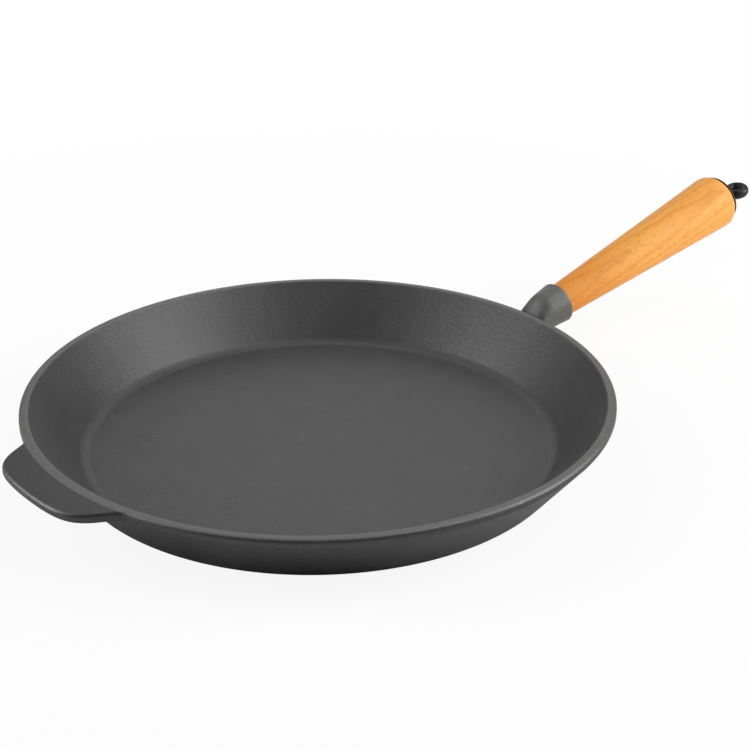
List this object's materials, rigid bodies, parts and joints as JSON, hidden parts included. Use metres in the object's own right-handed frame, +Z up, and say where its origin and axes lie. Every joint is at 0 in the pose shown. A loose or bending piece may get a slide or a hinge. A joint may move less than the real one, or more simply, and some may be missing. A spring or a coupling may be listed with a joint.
{
  "type": "cast iron frying pan",
  "caption": "Wide shallow cast iron frying pan with a cast helper lobe and a tapered beech grip, drawn into a cast socket by a tie rod and a hanging eye nut.",
  "frame": {"origin": "centre of the base's flat underside", "axes": "+X from the pan's centre towards the grip, +Z up out of the bowl"},
  "size_m": [0.6013, 0.36, 0.0958],
  "materials": {
    "cast_iron": "seasoned, fine sand-cast grain, satin",
    "beech": "turned and sanded, oiled satin",
    "rod_steel": "plain steel, threaded at both ends",
    "black_steel": "blackened, satin"
  },
  "bodies": {
    "pan": {"pan_casting": "cast_iron", "wood_grip": "beech", "tie_rod": "rod_steel"},
    "cap": {"butt_cap": "black_steel"},
    "eye": {"eye_nut": "black_steel"}
  },
  "joints": [
    {"name": "cap_travel", "type": "slide", "parent": "pan", "child": "cap", "axis": [0.9746, 0, 0.2241], "range_m": [0, 0.006]},
    {"name": "eye_turn", "type": "hinge", "parent": "cap", "child": "eye", "pos_m": [0.39119, 0, 0.08261], "axis": [0.9746, 0, 0.2241], "range_deg": [0, 2160]}
  ],
  "couplings": [
    {"joint": "eye_turn", "follows": "cap_travel", "rad_per_m": 6283.2}
  ]
}
